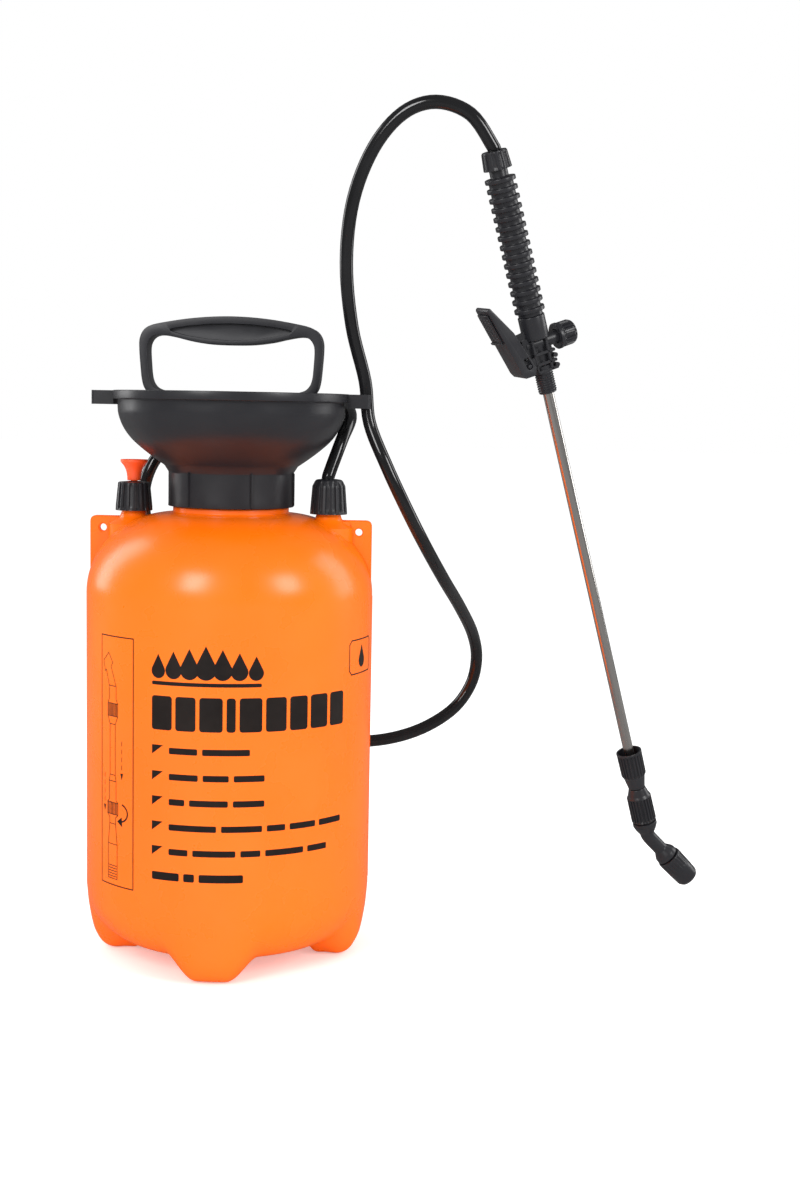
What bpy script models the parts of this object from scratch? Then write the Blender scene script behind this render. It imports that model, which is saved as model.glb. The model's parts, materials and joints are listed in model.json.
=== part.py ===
"""Hand-pumped pressure sprayer: tank, funnel, plunger pump, relief valve, hose, trigger grip and lance.

Lengths are in millimetres and angles in degrees; MM turns lengths into Blender's metres when a mesh
is made. The tank stands on z = 0 with its axis on the tank frame, +Z up, its two ears along X.
"""

import math

import bmesh
import bpy
from mathutils import Matrix, Vector

MM = 0.001
GAP = 0.3  # clearance between pieces that meet
SHARP = 35.0  # edges sharper than this stay crisp

# The tank axis sits to the left of the origin, so that the origin is under the middle of the object.
TANK_X = -112.8

# Tank
TANK_R = 92.5
WALL = 2.2
SHOULDER_Z = 237.0
SHOULDER_TOP_Z = 288.0
SHOULDER_TOP_R = 38.0
NECK_R = 35.6
NECK_TOP_Z = 309.5
NECK_BORE_R = 32.5
FOOT_FLAT_ANGLE = 7.6  # half angle of a foot's flat bottom
FOOT_EDGE_ANGLE = 23.0  # half angle at which a foot has run out into the belly
BOSS_X = 63.4
BOSS_R = 7.8
BOSS_BORE_R = 6.0
BOSS_TOP_Z = 303.0
LUG_X = 91.7
LUG_TOP_Z = 285.3
LUG_THICK = 5.0
LUG_HOLE_X = 83.3
LUG_HOLE_Z = 277.6
LUG_HOLE_R = 2.3

# Funnel
COLLAR_R = 40.4
COLLAR_Z = 293.0
COLLAR_TOP_Z = 314.5
RIM_R = 76.0
RIM_Z = 360.8
RIM_TOP_Z = 366.3
THROAT_R = 27.0
EAR_X = 90.0
EAR_HALF_WIDTH = 9.0
EAR_Z = 357.2
CLIP_X = 87.4
CLIP_R = 5.45

# Pump
CAP_FLANGE_R = 32.0
SEAT_Z = 317.5
BARREL_R = 22.0
BARREL_BORE_R = 20.0
BARREL_Z = 78.0
BARREL_TOP_Z = 316.0
ROD_R = 6.0
PISTON_Z = 84.0
HOOK_ANGLE = 60.0  # how far the handle turns to lock

# Handle
HANDLE_HALF_DEPTH = 9.0

# Hose
HOSE_D = 8.5
HOSE_POINTS = 80
HOSE_STRAIGHT = 3.0  # the hose leaves each nut straight for about this long

# Lance: its frame is at the valve, +Z towards the hose nut and +X towards the knurled valve cap.
LANCE_AT = (194.5, -12.8, 401.4)  # from the tank axis on the floor
LANCE_TILT = 14.9  # leans left
LANCE_LEAN = 12.9  # leans forward
LANCE_TURN = 25.0  # turned about its own axis
GRIP_R = 7.8
RIB_R = 9.65
RIB_COUNT = 15
RIB_PITCH = 5.864
RIB_WIDTH = 2.7
FIRST_RIB_Z = 19.8
TUBE_R = 3.5
TUBE_TOP_Z = -15.9
TUBE_BOTTOM_Z = -338.0
VALVE_Z = -0.8  # height of the valve's own axis
PIN_X = -12.6
PIN_Z = -12.0
PIN_R = 1.25
TRIGGER_TILT = 17.1
TRIGGER_HALF_WIDTH = 8.0
TRIGGER_WALL = 1.6
BEND_Z = -356.0
BEND_ANGLE = 28.5

HOSE_NUT_TOP_Z = 120.5
OUTLET_NUT_TOP_Z = 311.7

# The hose's route from just above the outlet nut to just above the hose nut, in the tank's frame.
HOSE_ROUTE = [
    (63.4, 0, 314.7), (70.7, 9.2, 336.8), (75, 26.2, 351.2), (69.2, 46.1, 358.7), (51.9, 65.7, 358.9),
    (25.3, 80.5, 353.9), (-4.1, 84.5, 347.8), (-33.4, 76.5, 340.1), (-55.5, 66.6, 327),
    (-66.7, 62.9, 307.5), (-69.1, 68.6, 282.8), (-62.7, 84.4, 249), (-50.3, 97.4, 213.7),
    (-32.4, 105.4, 178.1), (-10.4, 109.4, 149.6), (16.9, 111.2, 130.5), (50.9, 110.9, 120.5),
    (87, 111.1, 119), (119, 117.5, 125.6), (144.7, 127.1, 139.6), (158.5, 131.6, 158),
    (162.6, 127.3, 178.6), (159.2, 110.9, 198.9), (149.9, 78.3, 221.3), (138.2, 41.9, 244.5),
    (126.1, 13, 268.8), (113.9, -3.3, 293.8), (100.9, -7.7, 321), (89.2, -1.9, 348.3),
    (85.8, -0.8, 374.9), (77.4, -9.6, 409.2), (74, -20.4, 448.2), (78.2, -29.4, 485.1),
    (90.7, -36.3, 516.1), (108.5, -41.5, 536.3), (128.7, -44.3, 542.8), (149.6, -43.7, 536),
]


def colour(name, rgb, roughness, metallic=0.0):
    """A plain Principled material."""
    material = bpy.data.materials.new(name)
    material.use_nodes = True
    shader = material.node_tree.nodes["Principled BSDF"]
    shader.inputs["Base Color"].default_value = (*rgb, 1.0)
    shader.inputs["Roughness"].default_value = roughness
    shader.inputs["Metallic"].default_value = metallic
    material.diffuse_color = (*rgb, 1.0)
    return material


def clear_scene():
    for obj in list(bpy.data.objects):
        bpy.data.objects.remove(obj, do_unlink=True)


def frame(name, parent=None, location=(0, 0, 0), rotation=None):
    """An empty that holds a group of pieces in its own axes."""
    empty = bpy.data.objects.new(name, None)
    bpy.context.scene.collection.objects.link(empty)
    empty.parent = parent
    empty.matrix_local = Matrix.Translation(Vector(location) * MM) @ (rotation or Matrix())
    return empty


def turn(degrees, axis):
    return Matrix.Rotation(math.radians(degrees), 4, axis)


def place(name, bm, material, parent, origin=(0, 0, 0)):
    """Makes an object of a bmesh in millimetres, with its origin at the given point of its parent."""
    bmesh.ops.recalc_face_normals(bm, faces=bm.faces)
    bmesh.ops.translate(bm, vec=-Vector(origin), verts=bm.verts)
    bmesh.ops.scale(bm, vec=(MM, MM, MM), verts=bm.verts)
    mesh = bpy.data.meshes.new(name)
    bm.to_mesh(mesh)
    bm.free()
    mesh.shade_smooth()
    mesh.set_sharp_from_angle(angle=math.radians(SHARP))
    obj = bpy.data.objects.new(name, mesh)
    bpy.context.scene.collection.objects.link(obj)
    obj.parent = parent
    obj.location = Vector(origin) * MM
    if material:
        mesh.materials.append(material)
    return obj


def shape_with(obj, bm, operation, label):
    """Adds a Boolean with a hidden helper, which is in the same frame as the object."""
    helper = place(f"{obj.name}_{label}", bm, None, obj.parent)
    helper.hide_render = True
    helper.display_type = "WIRE"
    modifier = obj.modifiers.new(label, "BOOLEAN")
    modifier.operation = operation
    modifier.object = helper
    modifier.solver = "EXACT"


def cut(obj, bm, label):
    shape_with(obj, bm, "DIFFERENCE", label)


def join(obj, bm, label):
    shape_with(obj, bm, "UNION", label)


def turned(outline, steps=24, centre=(0, 0), flutes=None):
    """Turns a closed outline of (radius, height) about Z.

    flutes is (depth, low, high): every second side of what lies between those heights is sunk.
    """
    bm = bmesh.new()
    rings = []
    for radius, height in outline:
        if radius == 0:
            rings.append([bm.verts.new((centre[0], centre[1], height))])
            continue
        ring = []
        for i in range(steps):
            angle = 2 * math.pi * i / steps
            sunk = flutes and i % 2 and flutes[1] <= height <= flutes[2] and radius > flutes[3]
            r = radius - (flutes[0] if sunk else 0)
            x = centre[0] + r * math.cos(angle)
            y = centre[1] + r * math.sin(angle)
            ring.append(bm.verts.new((x, y, height)))
        rings.append(ring)
    for this, following in zip(rings, rings[1:] + rings[:1]):
        for i in range(steps):
            j = (i + 1) % steps
            corners = [this[i % len(this)], this[j % len(this)]]
            corners += [following[j % len(following)], following[i % len(following)]]
            unique = list(dict.fromkeys(corners))
            if len(unique) > 2:
                bm.faces.new(unique)
    return bm


def rod(radius, low, high, steps=24, centre=(0, 0)):
    return turned([(0, high), (radius, high), (radius, low), (0, low)], steps, centre)


def ring(outer, inner, low, high, steps=24, centre=(0, 0)):
    return turned([(outer, high), (outer, low), (inner, low), (inner, high)], steps, centre)


def along_x(bm, at=(0, 0, 0)):
    """Lays a shape made about Z along X, its top towards +X."""
    bmesh.ops.transform(bm, matrix=Matrix.Translation(at) @ turn(90, "Y"), verts=bm.verts)
    return bm


def along_y(bm, at=(0, 0, 0)):
    bmesh.ops.transform(bm, matrix=Matrix.Translation(at) @ turn(-90, "X"), verts=bm.verts)
    return bm


def box(low, high):
    bm = bmesh.new()
    size = [b - a for a, b in zip(low, high)]
    middle = [(a + b) / 2 for a, b in zip(low, high)]
    bmesh.ops.create_cube(bm, size=1.0, matrix=Matrix.Translation(middle) @ Matrix.Diagonal((*size, 1)))
    return bm


def slab(outline, front, back):
    """A plate in the XZ plane, from y = front to y = back."""
    bm = bmesh.new()
    near = [bm.verts.new((x, front, z)) for x, z in outline]
    far = [bm.verts.new((x, back, z)) for x, z in outline]
    bm.faces.new(near)
    bm.faces.new(far[::-1])
    for i in range(len(outline)):
        j = (i + 1) % len(outline)
        bm.faces.new((near[j], near[i], far[i], far[j]))
    return bm


def hoop(outer, inner, half_depth):
    """A closed band in the XZ plane between two outlines that have the same number of points."""
    bm = bmesh.new()
    loops = [[bm.verts.new((x, y, z)) for x, z in outline] for outline, y in
             ((outer, -half_depth), (outer, half_depth), (inner, half_depth), (inner, -half_depth))]
    for this, following in zip(loops, loops[1:] + loops[:1]):
        for i in range(len(outer)):
            j = (i + 1) % len(outer)
            bm.faces.new((this[i], this[j], following[j], following[i]))
    return bm


def coil(radius, wire, low, high, turns, around=8, sides=4):
    """A spring's wire as one closed tube about Z."""
    bm = bmesh.new()
    count = turns * around
    rings = []
    for i in range(count + 1):
        angle = 2 * math.pi * i / around
        centre_z = low + wire + (high - low - 2 * wire) * i / count
        section = []
        for k in range(sides):
            across = 2 * math.pi * k / sides
            r = radius + wire * math.cos(across)
            z = centre_z + wire * math.sin(across)
            section.append(bm.verts.new((r * math.cos(angle), r * math.sin(angle), z)))
        rings.append(section)
    for this, following in zip(rings, rings[1:]):
        for k in range(sides):
            j = (k + 1) % sides
            bm.faces.new((this[k], this[j], following[j], following[k]))
    bm.faces.new(rings[0])
    bm.faces.new(rings[-1][::-1])
    return bm


def mirrored(half):
    """A closed outline from its right half, given from the top middle to the bottom middle."""
    return half + [(-x, z) for x, z in reversed(half) if x]


def arc(centre, radii, start, end, count):
    """Points of an elliptical arc, both ends included."""
    points = []
    for i in range(count + 1):
        angle = math.radians(start + (end - start) * i / count)
        points.append((centre[0] + radii[0] * math.cos(angle), centre[1] + radii[1] * math.sin(angle)))
    return points


def inset(profile, depth):
    """An open profile of (radius, height) moved inwards, with each point along its own normal."""
    moved = []
    for i, (r, z) in enumerate(profile):
        before = profile[max(i - 1, 0)]
        after = profile[min(i + 1, len(profile) - 1)]
        run, rise = after[0] - before[0], after[1] - before[1]
        length = math.hypot(run, rise)
        moved.append((max(r - depth * rise / length, 0) if r else 0, z + depth * run / length))
    return moved


# ---------------------------------------------------------------- tank

# Matching points of the belly and of a foot, from the middle of the underside up to the side wall.
BELLY = [(0, 15), (48, 11), (58.5, 11), (68, 12.6), (77, 17.4), (85, 25.3), (90, 35), (92.5, 50)]
FOOT = [(0, 15), (48, 10.5), (59, 0), (68, 0), (76, 0), (84.5, 6), (89.5, 20), (92.5, 45)]


def foot_share(angle):
    """How much of a foot there is at this angle about the tank, from 0 to 1."""
    from_foot = abs((angle + 45) % 90 - 45)
    share = (FOOT_EDGE_ANGLE - from_foot) / (FOOT_EDGE_ANGLE - FOOT_FLAT_ANGLE)
    return min(max(share, 0), 1)


def tank_shape(depth, top, steps):
    """The bottle's closed surface, moved inwards by depth, with the points of top as its neck."""
    belly, foot = inset(BELLY, depth), inset(FOOT, depth)
    shoulder = (TANK_R - SHOULDER_TOP_R, SHOULDER_TOP_Z - SHOULDER_Z)
    side = inset(arc((SHOULDER_TOP_R, SHOULDER_Z), shoulder, 0, 84, 5), depth)
    bm = bmesh.new()
    rings = []
    for low, foot_point in list(zip(belly, foot))[1:]:
        ring_points = []
        for i in range(steps):
            degrees = 360 * i / steps
            share = foot_share(degrees)
            r = low[0] + (foot_point[0] - low[0]) * share
            z = low[1] + (foot_point[1] - low[1]) * share
            angle = math.radians(degrees)
            ring_points.append(bm.verts.new((r * math.cos(angle), r * math.sin(angle), z)))
        rings.append(ring_points)
    for r, z in side + top:
        rings.append([bm.verts.new((r * math.cos(2 * math.pi * i / steps),
                                    r * math.sin(2 * math.pi * i / steps), z))
                      for i in range(steps)])
    for this, following in zip(rings, rings[1:]):
        for i in range(steps):
            j = (i + 1) % steps
            bm.faces.new((this[i], this[j], following[j], following[i]))
    for end, z in ((rings[0], belly[0][1]), (rings[-1], top[-1][1])):
        middle = bm.verts.new((0, 0, z))
        for i in range(steps):
            bm.faces.new((end[i], end[(i + 1) % steps], middle))
    return bm


def make_tank(parent, material):
    neck = [(37.4, 288.7), (36.8, 290.5), (NECK_R, 291.2), (NECK_R, NECK_TOP_Z)]
    tank = place("tank", tank_shape(0, neck, 48), material, parent)
    for side, label in ((-1, "left"), (1, "right")):
        outline = [(60, 240), (60, LUG_TOP_Z), (88, LUG_TOP_Z), (90.6, LUG_TOP_Z - 1.1),
                   (LUG_X, LUG_TOP_Z - 3.7), (LUG_X, 246), (86, 240)]
        plate = slab([(side * x, z) for x, z in outline], -LUG_THICK / 2, LUG_THICK / 2)
        join(tank, plate, f"{label}_lug")
        boss = turned([(0, BOSS_TOP_Z), (BOSS_R, BOSS_TOP_Z), (BOSS_R, 289), (9.2, 285.5), (13, 282),
                       (13, 270), (0, 270)], 24, (side * BOSS_X, 0))
        join(tank, boss, f"{label}_boss")
    cavity_top = [(NECK_BORE_R + 1, 287), (NECK_BORE_R, 290), (NECK_BORE_R, NECK_TOP_Z + 5)]
    cut(tank, tank_shape(WALL, cavity_top, 48), "cavity")
    for side, label in ((-1, "left"), (1, "right")):
        cut(tank, rod(BOSS_BORE_R, 255, BOSS_TOP_Z + 5, 20, (side * BOSS_X, 0)), f"{label}_bore")
        hole = along_y(rod(LUG_HOLE_R, -6, 6, 16), (side * LUG_HOLE_X, 0, LUG_HOLE_Z))
        cut(tank, hole, f"{label}_strap_hole")


# ---------------------------------------------------------------- funnel

BOWL_OUTSIDE = [(COLLAR_R, COLLAR_TOP_Z), (43.5, 319.6), (58.5, 330.5), (64, 335.5), (68.7, 341.8),
                (71.5, 348), (72.9, 356.6), (72.9, RIM_Z)]
BOWL_INSIDE = [(70.3, 356.6), (69.1, 349), (65, 341.2), (56.9, 332.8), (42.5, 322.4), (31, SEAT_Z)]


def make_funnel(parent, material):
    web_z = NECK_TOP_Z + 2.6
    outline = BOWL_OUTSIDE + [(RIM_R, RIM_Z), (RIM_R, RIM_TOP_Z), (73.5, RIM_TOP_Z)] + BOWL_INSIDE + [
        (THROAT_R, SEAT_Z), (THROAT_R, 298), (30, 298), (30, web_z), (36.4, web_z), (36.4, COLLAR_Z),
        (COLLAR_R, COLLAR_Z)]
    funnel = place("funnel", turned(outline, 40), material, parent)
    for side, label in ((-1, "left"), (1, "right")):
        low, high = sorted((side * 70.6, side * EAR_X))
        ear = box((low, -EAR_HALF_WIDTH, EAR_Z), (high, EAR_HALF_WIDTH, RIM_TOP_Z))
        join(funnel, ear, f"{label}_ear")
        cut(funnel, rod(CLIP_R, EAR_Z - 5, RIM_TOP_Z + 5, 20, (side * CLIP_X, 0)), f"{label}_clip")
    return funnel


# ---------------------------------------------------------------- pump

def make_pump(parent, black, rubber, white):
    place("neck_gasket", ring(35.2, 32.8, NECK_TOP_Z + GAP, NECK_TOP_Z + 2.3, 28), rubber, parent)
    place("pump_seal_ring", ring(30.2, 27.6, SEAT_Z + GAP, 319.8, 28), rubber, parent)

    # The cap screws into the funnel's throat; two hooks inside its raised ring lock the handle down.
    cap_outline = [(9.4, 324), (15.8, 324), (15.8, 333), (18.2, 333), (18.2, 324.5), (CAP_FLANGE_R, 324),
                   (CAP_FLANGE_R, 320.1), (26.4, 320.1), (26.4, 301), (22.4, 301), (22.4, BARREL_TOP_Z + GAP),
                   (9.4, BARREL_TOP_Z + GAP)]
    cap = place("pump_cap", turned(cap_outline, 28), black, parent)
    for label, middle in (("first", 90 + HOOK_ANGLE), ("second", 270 + HOOK_ANGLE)):
        join(cap, wedge(12.5, 17, 330, 333, middle, 18), f"{label}_hook")
    place("rod_bush", turned([(11.8, 326.2), (11.8, 324.3), (9.1, 324.3), (9.1, 316.6), (6.3, 316.6),
                              (6.3, 326.2)],
                             24), white, parent)

    barrel_outline = [(BARREL_R, BARREL_TOP_Z), (BARREL_R, BARREL_Z), (4, BARREL_Z), (4, BARREL_Z + 3),
                      (BARREL_BORE_R, BARREL_Z + 3), (BARREL_BORE_R, BARREL_TOP_Z)]
    place("pump_barrel", turned(barrel_outline, 28), white, parent)
    cage = [(16, 77.7), (16, 66), (5, 66), (5, 68), (13.5, 68), (13.5, 77.7)]
    place("foot_valve_cage", turned(cage, 24), black, parent)
    place("check_valve", turned([(0, 76.2), (12, 76.2), (12, 74.4), (4, 74.4), (3, 70),
                                 (0, 70)], 24), rubber, parent)

    place("plunger_rod", rod(ROD_R, PISTON_Z + 14.3, 347, 20), white, parent)
    piston = [(0, PISTON_Z + 14), (12, PISTON_Z + 14), (19.3, PISTON_Z + 12), (19.3, PISTON_Z + 8),
              (16.4, PISTON_Z + 8), (16.4, PISTON_Z + 4), (19.3, PISTON_Z + 4), (19.3, PISTON_Z),
              (0, PISTON_Z)]
    place("piston", turned(piston, 24), white, parent)
    place("piston_cup", ring(19.7, 16.9, PISTON_Z + 4.4, PISTON_Z + 7.6, 24), rubber, parent)


def wedge(inner, outer, low, high, middle, half_angle, steps=4):
    """Part of a ring, centred on an angle about Z."""
    bm = bmesh.new()
    sections = []
    for i in range(steps + 1):
        angle = math.radians(middle - half_angle + 2 * half_angle * i / steps)
        sections.append([bm.verts.new((r * math.cos(angle), r * math.sin(angle), z))
                         for r, z in ((inner, low), (outer, low), (outer, high), (inner, high))])
    for this, following in zip(sections, sections[1:]):
        for k in range(4):
            j = (k + 1) % 4
            bm.faces.new((this[k], this[j], following[j], following[k]))
    bm.faces.new(sections[0])
    bm.faces.new(sections[-1][::-1])
    return bm


def make_handle(parent, material):
    outer = mirrored([(0, 414.2), (14, 413.7), (28, 412.3), (42, 410), (51, 408), (55.8, 404.6),
                      (58.3, 399.6),
                      (58.6, 394), (57.9, 385), (56.8, 373), (54.8, 367), (49.5, 362.8), (38, 359.8),
                      (24, 354.5), (14, 348), (0, 344)])
    inner = mirrored([(0, 396.3), (14, 396.7), (26, 398.3), (36, 400.6), (44.6, 402.2), (50, 401.2),
                      (53, 397.6),
                      (53.9, 393), (53.4, 385), (52.5, 375), (50.5, 370), (46, 367), (36, 365.2),
                      (24, 362), (12, 358), (0, 356)])
    handle = place("handle", hoop(outer, inner, HANDLE_HALF_DEPTH), material, parent)
    join(handle, turned([(0, 357), (11, 352), (11.9, 340), (11.9, 326.8), (0, 326.8)], 24), "hub")
    for label, middle in (("front", 270), ("back", 90)):
        join(handle, wedge(8, 15.2, 326.8, 329.5, middle, 14), f"{label}_lug")
    cut(handle, rod(ROD_R + GAP, 320, 347.3, 20), "rod_socket")
    for side, label in ((-1, "front"), (1, "back")):
        lens = slab(mirrored([(0, 409.4), (15, 408.8), (30, 407.3), (41.5, 405), (30, 401.6), (15, 399.6),
                              (0, 398.9)]), side * 6, side * 12)
        cut(handle, lens, f"{label}_recess")


# ---------------------------------------------------------------- valve and outlet on the shoulder

def make_relief_valve(parent, red, black, rubber, steel):
    at = (-BOSS_X, 0)
    nut = [(10.0, 308), (10.4, 306.5), (11.9, 290.2), (11.9, 289), (8.4, 289), (8.4, 304.5),
           (2.6, 304.5), (2.6, 308)]
    place("relief_nut", turned(nut, 24, at, flutes=(0.7, 289, 307, 9)), black, parent)
    seat = [(7.5, 304.2), (7.5, 303.3), (5.6, 303.3), (5.6, 284), (2.6, 284), (2.6, 287.4),
            (4.6, 287.4), (4.6, 304.2)]
    place("relief_seat", turned(seat, 16, at), black, parent)
    knob = [(0, 321.4), (7.6, 321.6), (8.75, 322), (8.75, 320.2), (6.6, 317.6), (5.2, 314.8), (4.5, 312),
            (4.45, 308.4), (2.2, 308.4), (2.2, 289.5), (0, 289.5)]
    place("relief_knob", turned(knob, 20, at), red, parent, (-BOSS_X, 0, 308.4))
    place("relief_seal", rod(4.1, 287.7, 289.2, 20, at), rubber, parent)
    spring = coil(3.4, 0.45, 289.6, 304.2, 5)
    bmesh.ops.translate(spring, vec=(-BOSS_X, 0, 0), verts=spring.verts)
    place("relief_spring", spring, steel, parent)


def make_outlet(parent, black, white):
    at = (BOSS_X, 0)
    nut = [(8.0, OUTLET_NUT_TOP_Z), (9.8, 310.9), (10.7, 308.6), (12, 290.2), (12, 289), (8.4, 289),
           (8.4, 305.4), (4.6, 305.4), (4.6, OUTLET_NUT_TOP_Z)]
    place("outlet_nut", turned(nut, 24, at, flutes=(0.7, 289, 309, 9)), black, parent)
    tail = [(2.7, 311.4), (2.7, 305), (7.5, 305), (7.5, 303.3), (2.6, 303.3), (2.6, 285), (1.6, 285),
            (1.6, 311.4)]
    place("outlet_tail", turned(tail, 16, at), white, parent)
    place("dip_tube", ring(4.0, 2.9, 26, 300, 16, at), white, parent)
    strainer = [(6.2, 34), (6.2, 20), (2, 20), (2, 22), (4.6, 22), (4.6, 34)]
    place("dip_tube_strainer", turned(strainer, 20, at), black, parent)


# ---------------------------------------------------------------- lance

def make_grip(parent, black, white):
    outside = [(5.75, 116), (5.75, 104.8), (GRIP_R, 104.2)]
    for i in reversed(range(RIB_COUNT)):
        middle = FIRST_RIB_Z + i * RIB_PITCH
        low, high = middle - RIB_WIDTH / 2, middle + RIB_WIDTH / 2
        outside += [(GRIP_R, high), (RIB_R, high - 0.4), (RIB_R, low + 0.4), (GRIP_R, low)]
    outline = outside + [(GRIP_R, 17.2), (6.3, 17.2), (6.3, 101), (3.6, 103), (3.6, 116)]
    place("grip", turned(outline, 12), black, parent)
    nut = [(7.6, HOSE_NUT_TOP_Z), (8.1, 120), (8.9, 110.6), (8.9, 109.3), (6.3, 109.3), (6.3, 118.6),
           (4.6, 118.6), (4.6, HOSE_NUT_TOP_Z)]
    place("hose_nut", turned(nut, 20, flutes=(0.6, 109, 120.2, 7.8)), black, parent)
    tail = [(2.6, 120.2), (2.6, 118.2), (5.9, 118.2), (5.9, 116.3), (3.2, 116.3), (3.2, 106),
            (1.6, 106), (1.6, 120.2)]
    place("hose_tail", turned(tail, 16), white, parent)
    strainer = [(5.4, 98), (5.4, 96), (4.9, 96), (4.9, 60), (0, 60), (0, 61), (4.2, 61), (4.2, 98)]
    place("grip_strainer", turned(strainer, 16), white, parent)


def make_valve(parent, black, rubber, steel, white):
    outline = [(0, 40), (6, 40), (6, 17.2), (8.55, 16.9), (8.55, 2), (5.8, 1), (5.8, -20), (6.05, -20.7),
               (6.05, -33.4), (0, -33.4)]
    body = place("valve_body", turned(outline, 16), black, parent)
    join(body, box((-6.6, -5.5, -19), (8.2, 5.5, 3)), "block")
    join(body, box((-15, -5.6, -15.2), (-5, 5.6, -8.3)), "pivot_lug")
    join(body, box((-16, -2.2, 3.5), (-6, 2.2, 8.3)), "catch")
    stem_housing = [(0, 20), (4, 20), (4, 9.5), (3.1, 9), (3.1, -9.5), (0, -9.5)]
    join(body, along_x(turned(stem_housing, 16), (0, 0, VALVE_Z)), "stem_housing")
    for label, z in (("upper", -10.8), ("lower", -17)):
        join(body, along_y(rod(1.5, -4, 4, 12), (8.3, 0, z)), f"{label}_bead")
    chamber = [(0, 25), (2.7, 25), (2.7, 4), (1.75, 4), (1.75, -12), (0, -12)]
    cut(body, along_x(turned(chamber, 16), (0, 0, VALVE_Z)), "stem_bore")
    passage = [(0, 45), (3, 45), (3, -15.5), (3.8, -15.5), (3.8, -31), (5.1, -31), (5.1, -36), (0, -36)]
    cut(body, turned(passage, 16), "passage")
    cut(body, along_y(rod(PIN_R + GAP, -7, 7, 16), (PIN_X, 0, PIN_Z)), "pin_hole")
    for side, label in ((-1, "front"), (1, "back")):
        low_y, high_y = sorted((side * 4.2, side * 7))
        for name, low, high in (("upper", -12.2, -7.4), ("lower", -17.8, -13.6)):
            cut(body, box((-5.4, low_y, low), (2.6, high_y, high)), f"{label}_{name}_pocket")

    cap = [(0, 28.3), (5.2, 28.2), (7.2, 27), (8, 24.8), (8.1, 16.4), (8.4, 16), (8.4, 13.9), (4.6, 13.9),
           (4.6, 20.8), (0, 20.8)]
    place("valve_cap", along_x(turned(cap, 24, flutes=(0.5, 16.2, 27.5, 6)), (0, 0, VALVE_Z)), black, parent,
          (0, 0, VALVE_Z))
    stem = [(0, 6.4), (2.3, 6.4), (2.3, 5.8), (1.3, 5.4), (1.3, -19.0), (2.4, -19.6), (2.4, -20.3),
            (1.4, -20.9), (0, -21)]
    place("valve_stem", along_x(turned(stem, 16), (0, 0, VALVE_Z)), white, parent, (0, 0, VALVE_Z))
    seal = turned([(2.3, 5.2), (2.3, 4.3), (1.6, 4.3), (1.6, 5.2)], 16)
    place("stem_seal", along_x(seal, (0, 0, VALVE_Z)), rubber, parent, (0, 0, VALVE_Z))
    spring = along_x(coil(1.9, 0.35, 6.7, 18.1, 5), (0, 0, VALVE_Z))
    place("valve_spring", spring, steel, parent, (0, 0, VALVE_Z))
    pin = along_y(rod(PIN_R, -8.6, 8.6, 16), (PIN_X, 0, PIN_Z))
    place("trigger_pin", pin, steel, parent, (PIN_X, 0, PIN_Z))


def make_trigger(lance, black):
    """The trigger's frame is on its pin, +Z up along its outer face and -X out through that face."""
    at = frame("trigger_frame", lance, (PIN_X, 0, PIN_Z), turn(-TRIGGER_TILT, "Y"))
    half = TRIGGER_HALF_WIDTH
    outside = [(-7.2, 45.4), (-6.4, 46.4), (-4.8, 46.7), (1.5, 24.1), (3.4, -3.3), (0.9, -7.3), (-6.15, -5.0),
               (-7.2, -1.3)]
    trigger = place("trigger", slab(outside, -half, half), black, at)
    inner = half - TRIGGER_WALL
    hollow = [(-5.4, 42), (4.0, 42), (12, 20), (12, -3.0), (4.0, -4.4), (0, -5.2), (-5.4, -3.4)]
    cut(trigger, slab(hollow, -inner, inner), "hollow")
    cut(trigger, along_y(rod(PIN_R + GAP, -12, 12, 16)), "pin_hole")
    cut(trigger, box((-9, -1.8, 24.4), (-4, 1.8, 32.6)), "lock_slot")
    lock = place("trigger_lock", box((-8.7, -6.4, 21.9), (-7.5, 6.4, 43)), black, at)
    join(lock, box((-8.0, -1.5, 24.8), (-4.6, 1.5, 28.3)), "neck")
    join(lock, box((-5.1, -3, 24), (-1.5, 3, 30)), "latch")


def make_lance_tube(parent, black, rubber, steel):
    place("lance_tube", ring(TUBE_R, 2.9, TUBE_BOTTOM_Z, TUBE_TOP_Z, 16), steel, parent)
    place("tube_seal", ring(4.8, 3.8, -33.1, -31.3, 16), rubber, parent)
    nut = [(8.7, -290.5), (8.5, -308.6), (7.5, -310), (5.6, -317.8), (3.8, -317.8), (3.8, -306.4),
           (7.0, -306.4), (7.4, -290.5)]
    place("tube_nut", turned(nut, 24, flutes=(0.4, -309, -291.5, 8)), black, parent, (0, 0, -290.5))
    lower = [(5.6, -318.4), (7.4, -323), (8.3, -324.8), (8.5, -343.4), (6.8, -343.4), (6.8, -329),
             (3.8, -329), (3.8, -318.4)]
    place("elbow_nut", turned(lower, 24, flutes=(0.4, -343, -324.5, 8)), black, parent)
    place("elbow_ferrule", ring(6.2, 3.8, -332.6, -329.3, 20), rubber, parent)


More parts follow.
